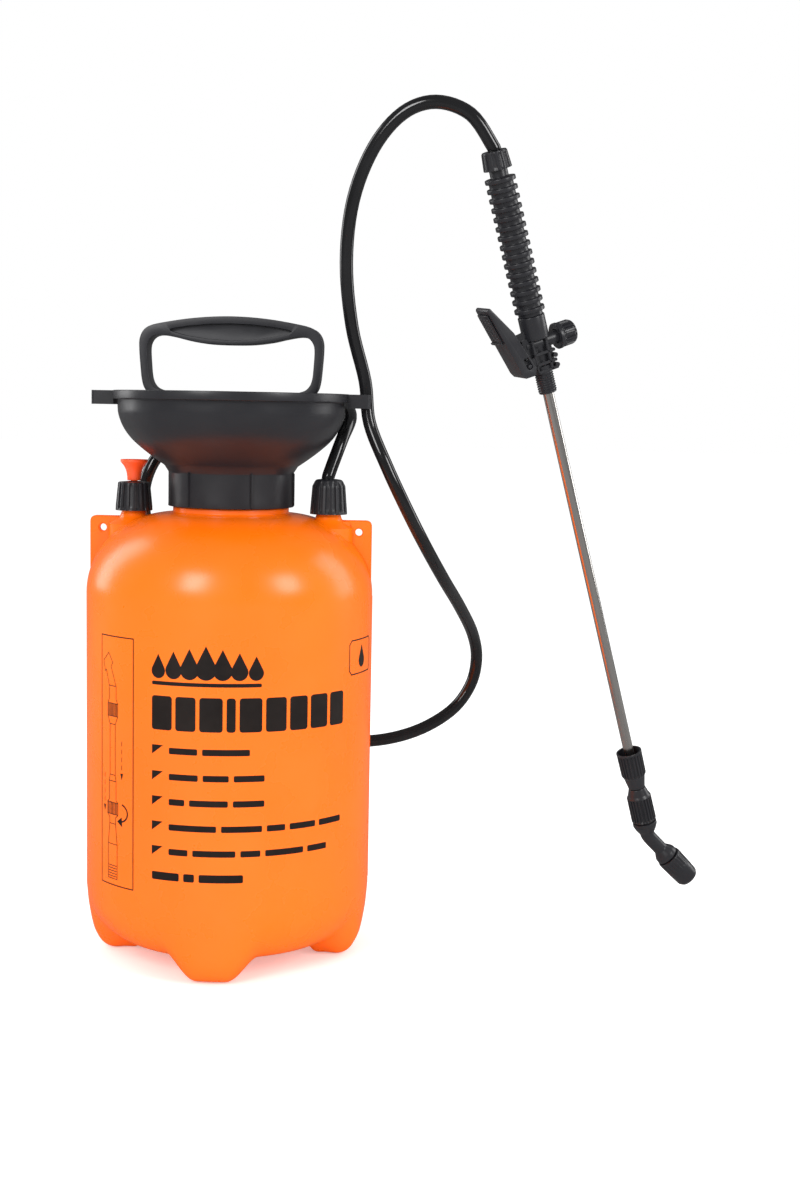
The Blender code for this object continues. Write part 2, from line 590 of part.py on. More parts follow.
def make_nozzle(lance, black, rubber, white):
    """The elbow's outlet frame is at its bend, +Z out along the nozzle."""
    bend_turn = turn(-LANCE_TURN, "Z") @ turn(180 - BEND_ANGLE, "Y")
    to_lance = Matrix.Translation((0, 0, BEND_Z)) @ bend_turn
    bend = frame("elbow_frame", lance, (0, 0, BEND_Z), bend_turn)
    inlet = [(6.3, -333), (6.3, -343.7), (8.1, -343.7), (8.1, -349), (7.2, -351), (4.9, -354.8), (4.9, -357),
             (3.4, -360.3), (0, -361), (0, -352), (2, -352), (2, -340), (3.85, -340), (3.85, -333)]
    elbow = place("nozzle_elbow", turned(inlet, 16), black, lance, (0, 0, BEND_Z))
    arm = turned([(0, -4), (3.4, -3), (4.9, 0), (4.9, 14.5), (6.6, 16.6), (8.0, 19.2), (8.3, 21.2),
                  (8.1, 22.4), (5.6, 22.4), (5.6, 36), (0, 36)], 16)
    bmesh.ops.transform(arm, matrix=to_lance, verts=arm.verts)
    join(elbow, arm, "arm")
    passage = turned([(0, 0), (1.9, 0), (1.9, 27.6), (3.3, 27.6), (3.3, 40), (0, 40)], 16)
    bmesh.ops.transform(passage, matrix=to_lance, verts=passage.verts)
    cut(elbow, passage, "passage")
    cut(elbow, rod(1.9, BEND_Z - 1, -345, 16), "inlet_passage")

    insert = [(0, 36.5), (1.8, 36.5), (3.0, 35), (3.0, 28), (0, 28)]
    place("swirl_insert", turned(insert, 16), white, bend)
    place("nozzle_seal", ring(5.8, 1.6, 36.9, 38.1, 20), rubber, bend)
    cap = [(0.9, 45.4), (4.4, 45.3), (6.4, 43.6), (7.3, 40.6), (8.3, 30), (8.4, 22.8), (6.1, 22.8),
           (6.1, 38.5), (0.9, 38.5)]
    place("nozzle_cap", turned(cap, 24), black, bend)


# ---------------------------------------------------------------- hose

def smooth_route(points, count):
    """Points at even steps along a Catmull-Rom curve through the route's points."""
    points = [Vector(p) for p in points]
    ends = [2 * points[0] - points[1]] + points + [2 * points[-1] - points[-2]]
    fine = []
    for a, b, c, d in zip(ends, ends[1:], ends[2:], ends[3:]):
        for k in range(24):
            t = k / 24
            fine.append(0.5 * (2 * b + (c - a) * t + (2 * a - 5 * b + 4 * c - d) * t * t
                               + (3 * b - a - 3 * c + d) * t ** 3))
    fine.append(points[-1])
    lengths = [0.0]
    for a, b in zip(fine, fine[1:]):
        lengths.append(lengths[-1] + (b - a).length)
    even = []
    j = 0
    for i in range(count):
        target = lengths[-1] * i / (count - 1)
        while j < len(fine) - 2 and lengths[j + 1] < target:
            j += 1
        share = (target - lengths[j]) / (lengths[j + 1] - lengths[j])
        even.append(fine[j].lerp(fine[j + 1], share))
    return even


def make_hose(parent, lance, material):
    bpy.context.view_layer.update()
    to_tank = parent.matrix_world.inverted() @ lance.matrix_world
    end = to_tank @ (Vector((0, 0, HOSE_NUT_TOP_Z + GAP)) * MM) / MM
    before_end = to_tank @ (Vector((0, 0, HOSE_NUT_TOP_Z + HOSE_STRAIGHT)) * MM) / MM
    start = Vector((BOSS_X, 0, OUTLET_NUT_TOP_Z + GAP))
    route = [start] + smooth_route(HOSE_ROUTE + [before_end], HOSE_POINTS - 2) + [end]
    curve = bpy.data.curves.new("hose", "CURVE")
    curve.dimensions = "3D"
    curve.bevel_depth = HOSE_D / 2 * MM
    curve.bevel_resolution = 2
    curve.use_fill_caps = True
    spline = curve.splines.new("POLY")
    spline.points.add(len(route) - 1)
    for point, at in zip(spline.points, route):
        point.co = (*(at * MM), 1.0)
    curve.materials.append(material)
    hose = bpy.data.objects.new("hose", curve)
    bpy.context.scene.collection.objects.link(hose)
    hose.parent = parent


def main():
    clear_scene()
    orange = colour("orange_plastic", (0.95, 0.2, 0.01), 0.35)
    black = colour("black_plastic", (0.03, 0.03, 0.032), 0.45)
    red = colour("red_plastic", (0.9, 0.08, 0.02), 0.35)
    white = colour("white_plastic", (0.75, 0.75, 0.72), 0.4)
    rubber = colour("black_rubber", (0.02, 0.02, 0.02), 0.7)
    steel = colour("stainless_steel", (0.62, 0.61, 0.6), 0.2, 1.0)
    vinyl = colour("black_vinyl", (0.012, 0.012, 0.013), 0.15)

    tank_frame = frame("tank_frame", None, (TANK_X, 0, 0))
    pose = turn(-LANCE_TILT, "Y") @ turn(LANCE_LEAN, "X") @ turn(LANCE_TURN, "Z")
    lance_frame = frame("lance_frame", tank_frame, LANCE_AT, pose)

    make_tank(tank_frame, orange)
    make_funnel(tank_frame, black)
    make_pump(tank_frame, black, rubber, white)
    make_handle(tank_frame, black)
    make_relief_valve(tank_frame, red, black, rubber, steel)
    make_outlet(tank_frame, black, white)
    make_grip(lance_frame, black, white)
    make_valve(lance_frame, black, rubber, steel, white)
    make_trigger(lance_frame, black)
    make_lance_tube(lance_frame, black, rubber, steel)
    make_nozzle(lance_frame, black, rubber, white)
    make_hose(tank_frame, lance_frame, vinyl)


main()
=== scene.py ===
"""The looks of the pressure sprayer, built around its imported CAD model.

Shapes are given in millimetres in the frame of the piece they belong to (tank, lance, trigger,
valve or nozzle); MM turns them into Blender's metres.
"""

import json
import math

import bmesh
import bpy
from mathutils import Matrix, Vector


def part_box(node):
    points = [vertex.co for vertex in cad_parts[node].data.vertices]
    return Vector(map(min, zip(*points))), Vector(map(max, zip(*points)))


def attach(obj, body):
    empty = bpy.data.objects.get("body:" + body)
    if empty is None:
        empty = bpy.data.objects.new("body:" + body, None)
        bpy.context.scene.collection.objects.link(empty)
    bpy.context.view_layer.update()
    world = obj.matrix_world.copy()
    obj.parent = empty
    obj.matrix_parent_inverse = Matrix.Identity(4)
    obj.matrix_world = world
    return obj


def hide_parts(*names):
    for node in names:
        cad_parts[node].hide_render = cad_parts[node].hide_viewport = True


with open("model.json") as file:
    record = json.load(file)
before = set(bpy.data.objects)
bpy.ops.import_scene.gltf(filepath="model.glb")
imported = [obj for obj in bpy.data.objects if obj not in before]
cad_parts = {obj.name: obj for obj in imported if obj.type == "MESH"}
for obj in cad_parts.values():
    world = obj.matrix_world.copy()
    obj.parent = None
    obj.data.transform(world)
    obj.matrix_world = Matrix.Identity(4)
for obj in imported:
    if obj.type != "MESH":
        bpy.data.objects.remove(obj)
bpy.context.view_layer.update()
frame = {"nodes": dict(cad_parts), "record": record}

MM = 0.001


def turn(degrees, axis):
    return Matrix.Rotation(math.radians(degrees), 4, axis)


def shift(x, y, z):
    return Matrix.Translation(Vector((x, y, z)) * MM)


# ---------------------------------------------------------------- frames

BOSS_X = 63.4
TANK_X = (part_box("tank")[0].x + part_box("tank")[1].x) / 2 / MM
TANK = shift(TANK_X, 0, 0)
LANCE = TANK @ shift(194.5, -12.8, 401.4) @ turn(-14.9, "Y") @ turn(12.9, "X") @ turn(25, "Z")
PIN = (-12.6, 0, -12)
TRIGGER = LANCE @ shift(*PIN) @ turn(-17.1, "Y")
VALVE = LANCE @ shift(0, 0, -0.8) @ turn(90, "Y")
NOZZLE = LANCE @ shift(0, 0, -356) @ turn(-25, "Z") @ turn(151.5, "Y")

# ---------------------------------------------------------------- camera

CAMERA_AT = Vector((TANK_X + 150.7, -1123.1, 357.8)) * MM
CAMERA_LOOK = Vector((-0.0353, 0.9934, -0.1095)).normalized()
CAMERA_ROLL = 1.06
LENS = 52.13
SENSOR = 36.0


def add_camera():
    across = CAMERA_LOOK.cross(Vector((0, 0, 1))).normalized()
    across = Matrix.Rotation(math.radians(-CAMERA_ROLL), 3, CAMERA_LOOK) @ across
    upward = across.cross(CAMERA_LOOK)
    camera = bpy.data.objects.new("camera", bpy.data.cameras.new("camera"))
    camera.data.lens = LENS
    camera.data.sensor_width = SENSOR
    camera.data.sensor_fit = "AUTO"
    camera.data.clip_start = 0.05
    camera.data.clip_end = 60
    rotation = Matrix((across, upward, -CAMERA_LOOK)).transposed().to_4x4()
    camera.matrix_world = Matrix.Translation(CAMERA_AT) @ rotation
    bpy.context.scene.collection.objects.link(camera)
    bpy.context.scene.camera = camera


# ---------------------------------------------------------------- materials

def shader_of(name):
    material = bpy.data.materials.new(name)
    material.use_nodes = True
    return material, material.node_tree, material.node_tree.nodes["Principled BSDF"]


def noise(tree, scale, detail=3.0, stretch=(1, 1, 1)):
    """A noise texture in the piece's own coordinates; scale is in features per metre."""
    coordinates = tree.nodes.new("ShaderNodeTexCoord")
    mapping = tree.nodes.new("ShaderNodeMapping")
    mapping.inputs["Scale"].default_value = stretch
    texture = tree.nodes.new("ShaderNodeTexNoise")
    texture.inputs["Scale"].default_value = scale
    texture.inputs["Detail"].default_value = detail
    tree.links.new(coordinates.outputs["Object"], mapping.inputs["Vector"])
    tree.links.new(mapping.outputs["Vector"], texture.inputs["Vector"])
    return texture.outputs["Fac"]


def remap(tree, value, low, high):
    node = tree.nodes.new("ShaderNodeMapRange")
    node.inputs["From Min"].default_value = 0.3
    node.inputs["From Max"].default_value = 0.7
    node.inputs["To Min"].default_value = low
    node.inputs["To Max"].default_value = high
    tree.links.new(value, node.inputs["Value"])
    return node.outputs["Result"]


def blend_colours(tree, value, first, second):
    node = tree.nodes.new("ShaderNodeMix")
    node.data_type = "RGBA"
    node.inputs["A"].default_value = (*first, 1)
    node.inputs["B"].default_value = (*second, 1)
    tree.links.new(value, node.inputs["Factor"])
    return node.outputs["Result"]


def bump(tree, shader, height, strength, depth):
    node = tree.nodes.new("ShaderNodeBump")
    node.inputs["Strength"].default_value = strength
    node.inputs["Distance"].default_value = depth * MM
    tree.links.new(height, node.inputs["Height"])
    tree.links.new(node.outputs["Normal"], shader.inputs["Normal"])


def moulded(name, first, second, roughness, grain=900, depth=0.03, cloud=18, specular=0.5):
    """Moulded plastic or rubber: two close shades, a fine grain and slightly uneven gloss."""
    material, tree, shader = shader_of(name)
    shader.inputs["Specular IOR Level"].default_value = specular
    broad = noise(tree, cloud, 3)
    fine = noise(tree, grain, 2)
    tree.links.new(blend_colours(tree, remap(tree, broad, 0, 1), first, second), shader.inputs["Base Color"])
    tree.links.new(remap(tree, noise(tree, cloud * 4, 4), *roughness), shader.inputs["Roughness"])
    bump(tree, shader, fine, 0.35, depth)
    return material


def brushed(name, base, roughness, stretch):
    """Drawn steel, with fine lines along one axis of the piece."""
    material, tree, shader = shader_of(name)
    shader.inputs["Metallic"].default_value = 1.0
    lines = noise(tree, 1400, 2, stretch)
    tree.links.new(blend_colours(tree, remap(tree, lines, 0, 1), base, [c * 0.82 for c in base]),
                   shader.inputs["Base Color"])
    tree.links.new(remap(tree, lines, *roughness), shader.inputs["Roughness"])
    bump(tree, shader, lines, 0.15, 0.01)
    return material


ORANGE = moulded("tank_orange", (0.95, 0.142, 0.0), (0.97, 0.165, 0.001), (0.25, 0.31), 260, 0.02, 9)
BLACK = moulded("black_moulded", (0.013, 0.013, 0.016), (0.019, 0.019, 0.022), (0.3, 0.4), 1100, 0.03)
GRAINED = moulded("black_grained", (0.014, 0.014, 0.018), (0.02, 0.02, 0.024), (0.36, 0.46), 700, 0.05)
RED = moulded("red_moulded", (0.98, 0.085, 0.012), (1.0, 0.10, 0.018), (0.34, 0.42), 900, 0.02)
WHITE = moulded("white_moulded", (0.42, 0.42, 0.39), (0.47, 0.46, 0.43), (0.3, 0.42), 900, 0.02)
RUBBER = moulded("seal_rubber", (0.018, 0.018, 0.018), (0.028, 0.028, 0.027), (0.6, 0.75), 1200, 0.03)
VINYL = moulded("hose_vinyl", (0.006, 0.006, 0.0065), (0.010, 0.010, 0.011), (0.1, 0.16), 300, 0.004, 30)
INK = moulded("printed_ink", (0.009, 0.005, 0.004), (0.014, 0.008, 0.006), (0.4, 0.5), 1500, 0.01, 60,
              specular=0.35)
STEEL = brushed("drawn_steel", (0.72, 0.69, 0.66), (0.16, 0.3), (1, 1, 0.02))
WIRE = brushed("spring_wire", (0.6, 0.6, 0.6), (0.22, 0.35), (1, 1, 1))
SLOT_MATERIALS = {"tank_orange": ORANGE, "black_plastic": BLACK, "red_plastic": RED, "white_plastic": WHITE,
                  "rubber": RUBBER, "stainless": WIRE, "hose_vinyl": VINYL}

# ---------------------------------------------------------------- building pieces


def piece(name, bm, where, material, body, nodes=(), sharp=32.0, bevel=0.0):
    """Makes an object of a bmesh given in millimetres, in the frame `where`, that rides on a body."""
    bmesh.ops.recalc_face_normals(bm, faces=bm.faces)
    bmesh.ops.scale(bm, vec=(MM, MM, MM), verts=bm.verts)
    mesh = bpy.data.meshes.new(name)
    bm.to_mesh(mesh)
    bm.free()
    mesh.materials.append(material)
    obj = bpy.data.objects.new(name, mesh)
    obj.matrix_world = where
    bpy.context.scene.collection.objects.link(obj)
    if bevel:
        rounding = obj.modifiers.new("rounding", "BEVEL")
        rounding.width = bevel * MM
        rounding.segments = 3
        rounding.limit_method = "ANGLE"
        rounding.angle_limit = math.radians(30)
        bake(obj)
    obj.data.shade_smooth()
    obj.data.set_sharp_from_angle(angle=math.radians(sharp))
    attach(obj, body)
    if nodes:
        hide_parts(*nodes)
    return obj


def bake(obj):
    """Applies the object's modifiers."""
    evaluated = obj.evaluated_get(bpy.context.evaluated_depsgraph_get())
    mesh = bpy.data.meshes.new_from_object(evaluated)
    obj.modifiers.clear()
    old = obj.data
    obj.data = mesh
    bpy.data.meshes.remove(old)


def cut(base, tools):
    """Cuts bmeshes from the first one with Booleans and returns a new bmesh."""
    objects = []
    for bm in [base] + tools:
        bmesh.ops.recalc_face_normals(bm, faces=bm.faces)
        mesh = bpy.data.meshes.new("shape")
        bm.to_mesh(mesh)
        bm.free()
        obj = bpy.data.objects.new("shape", mesh)
        bpy.context.scene.collection.objects.link(obj)
        objects.append(obj)
    for other in objects[1:]:
        modifier = objects[0].modifiers.new("shape", "BOOLEAN")
        modifier.operation = "DIFFERENCE"
        modifier.object = other
        modifier.solver = "EXACT"
    bake(objects[0])
    bm = bmesh.new()
    bm.from_mesh(objects[0].data)
    for obj in objects:
        bpy.data.objects.remove(obj, do_unlink=True)
    return bm


def merged(*shapes):
    """Several bmeshes as one, without joining their surfaces."""
    result = bmesh.new()
    for bm in shapes:
        bmesh.ops.recalc_face_normals(bm, faces=bm.faces)
        mesh = bpy.data.meshes.new("part")
        bm.to_mesh(mesh)
        bm.free()
        result.from_mesh(mesh)
        bpy.data.meshes.remove(mesh)
    return result


def moved(bm, matrix):
    bmesh.ops.transform(bm, matrix=matrix, verts=bm.verts)
    return bm


def at(x, y, z):
    return Matrix.Translation((x, y, z))


def filleted(points, radius=0.4, closed=True, arcs=3):
    """The outline with its corners rounded; a point may carry its own radius as a third number."""
    result = []
    count = len(points)
    for i, point in enumerate(points):
        here = Vector(point[:2])
        size = point[2] if len(point) > 2 else radius
        if (not closed and i in (0, count - 1)) or size == 0 or (closed and here.x == 0 and len(point) < 3):
            result.append((here.x, here.y))
            continue
        back = Vector(points[i - 1][:2]) - here
        ahead = Vector(points[(i + 1) % count][:2]) - here
        if back.length < 1e-6 or ahead.length < 1e-6:
            result.append((here.x, here.y))
            continue
        angle = back.angle(ahead)
        if angle > math.radians(174):
            result.append((here.x, here.y))
            continue
        run = min(size / math.tan(angle / 2), back.length * 0.46, ahead.length * 0.46)
        start = here + back.normalized() * run
        end = here + ahead.normalized() * run
        for k in range(arcs + 1):
            t = k / arcs
            spot = start * (1 - t) ** 2 + here * 2 * t * (1 - t) + end * t * t
            result.append((spot.x, spot.y))
    return result


def smooth(points, per_span, closed=False):
    """Points along a Catmull-Rom curve through the given ones."""
    vectors = [Vector(p) for p in points]
    if closed:
        ring = [vectors[-1]] + vectors + vectors[:2]
    else:
        ring = [2 * vectors[0] - vectors[1]] + vectors + [2 * vectors[-1] - vectors[-2]]
    result = []
    for a, b, c, d in zip(ring, ring[1:], ring[2:], ring[3:]):
        for k in range(per_span):
            t = k / per_span
            result.append(0.5 * (2 * b + (c - a) * t + (2 * a - 5 * b + 4 * c - d) * t * t
                                 + (3 * b - a - 3 * c + d) * t ** 3))
    if not closed:
        result.append(vectors[-1])
    return [tuple(v) for v in result]


def turned(outline, steps=96, rule=None, closed=True):
    """Turns an outline of (radius, height) about Z; rule(angle, radius, height) may change each radius."""
    bm = bmesh.new()
    rings = []
    for radius, height in outline:
        if radius <= 1e-6:
            rings.append([bm.verts.new((0, 0, height))])
            continue
        ring = []
        for i in range(steps):
            angle = 2 * math.pi * i / steps
            r = rule(angle, radius, height) if rule else radius
            ring.append(bm.verts.new((r * math.cos(angle), r * math.sin(angle), height)))
        rings.append(ring)
    pairs = list(zip(rings, rings[1:]))
    if closed:
        pairs.append((rings[-1], rings[0]))
    for this, following in pairs:
        for i in range(steps):
            j = (i + 1) % steps
            corners = [this[i % len(this)], this[j % len(this)]]
            corners += [following[j % len(following)], following[i % len(following)]]
            unique = list(dict.fromkeys(corners))
            if len(unique) > 2:
                bm.faces.new(unique)
    return bm


def fluted(count, depth, low, high, least, width=0.5, ease=1.2, phase=0.0):
    """A rule for turned(): grooves between ribs, between two heights and outside a radius."""
    def rule(angle, radius, height):
        if radius < least or height < low or height > high:
            return radius
        wave = 0.5 + 0.5 * math.cos(count * angle + phase)
        groove = min(max((wave - width) / 0.28, 0), 1)
        groove = groove * groove * (3 - 2 * groove)
        edge = min((height - low) / ease, (high - height) / ease, 1)
        return radius - depth * groove * max(edge, 0)
    return rule


def levels(points, step):
    """The outline with extra points on its long steep runs, so that a rule has something to shape."""
    result = []
    for here, ahead in zip(points, points[1:] + points[:1]):
        result.append(here)
        rise = abs(ahead[1] - here[1])
        if rise > step and here[0] > 1e-6 and ahead[0] > 1e-6:
            parts = math.ceil(rise / step)
            for k in range(1, parts):
                t = k / parts
                result.append((here[0] + (ahead[0] - here[0]) * t, here[1] + (ahead[1] - here[1]) * t))
    return result


def box(low, high):
    size = [b - a for a, b in zip(low, high)]
    middle = [(a + b) / 2 for a, b in zip(low, high)]
    bm = bmesh.new()
    bmesh.ops.create_cube(bm, size=1.0, matrix=Matrix.Translation(middle) @ Matrix.Diagonal((*size, 1)))
    return bm


def slab(outline, front, back):
    """A plate in the XZ plane between two depths."""
    bm = bmesh.new()
    near = [bm.verts.new((x, front, z)) for x, z in outline]
    far = [bm.verts.new((x, back, z)) for x, z in outline]
    bm.faces.new(near)
    bm.faces.new(far[::-1])
    for i in range(len(outline)):
        j = (i + 1) % len(outline)
        bm.faces.new((near[j], near[i], far[i], far[j]))
    return bm


def rod(radius, low, high, steps=48):
    return turned([(0, high), (radius, high), (radius, low), (0, low)], steps)


def along_y(bm, spot=(0, 0, 0)):
    return moved(bm, at(*spot) @ turn(-90, "X"))


def mirrored(half):
    return half + [(-x, z) for x, z in reversed(half) if x]


# ---------------------------------------------------------------- hose

HOSE_D = 0.0085
HOSE_END = LANCE @ Vector((0, 0, 0.1208))
HOSE_NEAR_END = LANCE @ Vector((0, 0, 0.1235))

# The hose's route in millimetres from the tank's axis; it ends inside the hose nut.
HOSE_ROUTE = [
    (63.4, 0, 312), (63.4, 0, 314.7), (70.7, 9.2, 336.8), (75, 26.2, 351.2), (69.2, 46.1, 358.7),
    (51.9, 65.7, 358.9), (25.3, 80.5, 353.9), (-4.1, 84.5, 347.8), (-33.4, 76.5, 340.1), (-55.5, 66.6, 327),
    (-66.7, 62.9, 307.5), (-69.1, 68.6, 282.8), (-62.7, 84.4, 249), (-50.3, 97.4, 213.7),
    (-32.4, 105.4, 178.1), (-10.4, 109.4, 149.6), (16.9, 111.2, 130.5), (50.9, 110.9, 120.5),
    (87, 111.1, 119), (119, 117.5, 125.6), (144.7, 127.1, 139.6), (158.5, 131.6, 158),
    (162.6, 127.3, 178.6), (159.2, 110.9, 198.9), (149.9, 78.3, 221.3), (138.2, 41.9, 244.5),
    (126.1, 13, 268.8), (113.9, -3.3, 293.8), (100.9, -7.7, 321), (89.2, -1.9, 348.3), (85.8, -0.8, 374.9),
    (77.4, -9.6, 409.2), (74, -20.4, 448.2), (78.2, -29.4, 485.1), (90.7, -36.3, 516.1),
    (108.5, -41.5, 536.3), (128.7, -44.3, 542.8), (149.6, -43.7, 536),
]


def add_hose():
    """The hose, a cord along its route with both ends held."""
    route = [TANK @ (Vector(p) * MM) for p in HOSE_ROUTE] + [HOSE_NEAR_END, HOSE_END]
    line = smooth([tuple(p) for p in route], 6)
    curve = bpy.data.curves.new("hose_line", "CURVE")
    curve.dimensions = "3D"
    curve.bevel_depth = HOSE_D / 2
    curve.bevel_resolution = 8
    curve.use_fill_caps = True
    spline = curve.splines.new("POLY")
    spline.points.add(len(line) - 1)
    for point, spot in zip(spline.points, line):
        point.co = (*spot, 1)
    spline.use_smooth = True
    curve.materials.append(VINYL)
    hose = bpy.data.objects.new("hose_line", curve)
    bpy.context.scene.collection.objects.link(hose)
    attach(hose, "root")
    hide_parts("hose")


# ---------------------------------------------------------------- tank

TANK_R = 92.5
SIDE_TOP = 237.0
BELLY = [(0, 15), (30, 12.5), (50, 11), (58.5, 11), (65, 11.7), (72, 14), (79, 18.5), (84.5, 24.3),
         (88.5, 31), (91, 38), (92.5, 49)]
FOOT = [(0, 15), (30, 12.5), (50, 11), (59, 0.4), (67, 0), (76, 0), (82.2, 3.3), (86.5, 10),
        (88.8, 17), (91.2, 30.5), (92.5, 45)]


def foot_share(degrees):
    """How much of a foot there is at this angle about the tank, from 0 to 1."""
    from_foot = abs((degrees + 45) % 90 - 45)
    share = min(max((23.5 - from_foot) / 16.5, 0), 1)
    return share * share * (3 - 2 * share)


def tank_body(steps=288):
    belly = smooth(BELLY, 4)
    foot = smooth(FOOT, 4)
    shoulder = [(38 + 54.5 * math.cos(math.radians(a)), SIDE_TOP + 51.6 * math.sin(math.radians(a)))
                for a in range(3, 88, 3)]
    side = [(TANK_R, z) for z in (60, 90, 120, 150, 180, 210, SIDE_TOP)]
    neck = filleted([(38.6, 288.6), (37.4, 289.3, 0.5), (37.4, 292.3, 0.8), (35.6, 293.2, 0.5),
                     (35.6, 309.5, 0.5), (32.5, 309.5, 0.5), (32.5, 284)], closed=False)
    bm = bmesh.new()
    rings = []
    for low, foot_point in list(zip(belly, foot))[1:]:
        ring = []
        for i in range(steps):
            degrees = 360 * i / steps
            share = foot_share(degrees)
            r = low[0] + (foot_point[0] - low[0]) * share
            z = max(low[1] + (foot_point[1] - low[1]) * share, 0)
            angle = math.radians(degrees)
            ring.append(bm.verts.new((r * math.cos(angle), r * math.sin(angle), z)))
        rings.append(ring)
    for r, z in side + shoulder + neck:
        rings.append([bm.verts.new((r * math.cos(2 * math.pi * i / steps),
                                    r * math.sin(2 * math.pi * i / steps), z))
                      for i in range(steps)])
    for this, following in zip(rings, rings[1:]):
        for i in range(steps):
            j = (i + 1) % steps
            bm.faces.new((this[i], this[j], following[j], following[i]))
    centre = bm.verts.new((0, 0, belly[0][1]))
    for i in range(steps):
        bm.faces.new((rings[0][i], rings[0][(i + 1) % steps], centre))
    return bm


def add_tank():
    shapes = [tank_body()]
    for side in (-1, 1):
        outline = filleted([(58, 250, 0), (58, 285.3, 0), (91.7, 285.3, 4.2), (91.7, 245, 0), (84, 236, 0)],
                           arcs=8)
        plate = slab([(side * x, z) for x, z in outline], -2.5, 2.5)
        hole = along_y(rod(2.35, -8, 8), (side * 83.3, 0, 277.6))
        plate = cut(plate, [hole])
        edges = [e for e in plate.edges if len(e.link_faces) == 2 and e.calc_face_angle(0) > math.radians(40)]
        bmesh.ops.bevel(plate, geom=edges, offset=0.7, segments=3, affect="EDGES")
        shapes.append(plate)
        gusset = slab([(side * x, z) for x, z in
                       filleted([(50, 262, 0), (50, 284.6, 0), (77.5, 284.6, 2.5), (80, 262, 0)],
                                arcs=5)], -4.6, 4.6)
        edges = [e for e in gusset.edges if e.calc_face_angle(0) > math.radians(40)]
        bmesh.ops.bevel(gusset, geom=edges, offset=2.0, segments=5, affect="EDGES")
        shapes.append(gusset)
        boss = [(6, 268, 0), (6, 303, 0.4), (7.8, 303, 0.6), (7.8, 291), (7.9, 288.5), (8.7, 286, 0),
                (10.4, 284, 0), (13.2, 282.2, 0), (16.5, 280.4, 0), (16.5, 268, 0)]
        shapes.append(moved(turned(filleted(boss), 72), at(side * BOSS_X, 0, 0)))
        seam = slab([(side * x, z) for x, z in
                     [(91.9, 50), (92.78, 50), (92.78, 236), (91.9, 240)]], -0.45, 0.45)
        shapes.append(seam)
    piece("tank_bottle", merged(*shapes), TANK, ORANGE, "root", ["tank"], sharp=38)


# ---------------------------------------------------------------- printed marks

INK_R = TANK_R + 0.08
DEGREE = math.radians(1) * TANK_R  # length of one degree along the tank's side, in mm
SLICE = 1.5  # degrees; a printed shape follows the tank's curve in slices this wide


def patch(outline):
    """A flat shape of (degrees from the front, height), laid on the tank's side in narrow slices."""
    bm = bmesh.new()
    bm.faces.new([bm.verts.new((angle, z, 0)) for angle, z in outline])
    first = math.ceil(min(angle for angle, z in outline) / SLICE)
    last = math.floor(max(angle for angle, z in outline) / SLICE)
    for k in range(first, last + 1):
        geometry = bm.verts[:] + bm.edges[:] + bm.faces[:]
        bmesh.ops.bisect_plane(bm, geom=geometry, plane_co=(SLICE * k, 0, 0), plane_no=(1, 0, 0))
    for vertex in bm.verts:
        around = math.radians(vertex.co.x)
        vertex.co = (INK_R * math.sin(around), -INK_R * math.cos(around), vertex.co.y)
    return bm


def bar(left, right, low, high, corner):
    """An upright or lying bar between two angles and two heights, with rounded corners."""
    across = corner / DEGREE
    near_across = 0.3 * across
    near_up = 0.3 * corner
    return patch([(left + across, low), (right - across, low), (right - near_across, low + near_up),
                  (right, low + corner), (right, high - corner), (right - near_across, high - near_up),
                  (right - across, high), (left + across, high), (left + near_across, high - near_up),
                  (left, high - corner), (left, low + corner), (left + near_across, low + near_up)])


def stroke(points, width=0.45):
    """A line of even width through points of (degrees, height)."""
    shapes = []
    for (x0, z0), (x1, z1) in zip(points, points[1:]):
        along = Vector(((x1 - x0) * DEGREE, z1 - z0)).normalized()
        side = Vector((-along.y, along.x)) * width / 2
        reach = along * width / 2
        start = [(x0 + (a * side.x - reach.x) / DEGREE, z0 + a * side.y - reach.y) for a in (1, -1)]
        end = [(x1 + (a * side.x + reach.x) / DEGREE, z1 + a * side.y + reach.y) for a in (-1, 1)]
        shapes.append(patch(start + end))
    return shapes


def drop(middle, low, height):
    """A water drop."""
    radius = height * 0.31
    points = []
    for k in range(21):
        angle = math.radians(-213 + 246 * k / 20)
        points.append((middle + radius * math.cos(angle) / DEGREE, low + radius + radius * math.sin(angle)))
    points.append((middle, low + height))
    return patch(points)


def arrow_head(x, z, length, half_width):
    return patch([(x - half_width / DEGREE, z), (x, z - length), (x + half_width / DEGREE, z)])


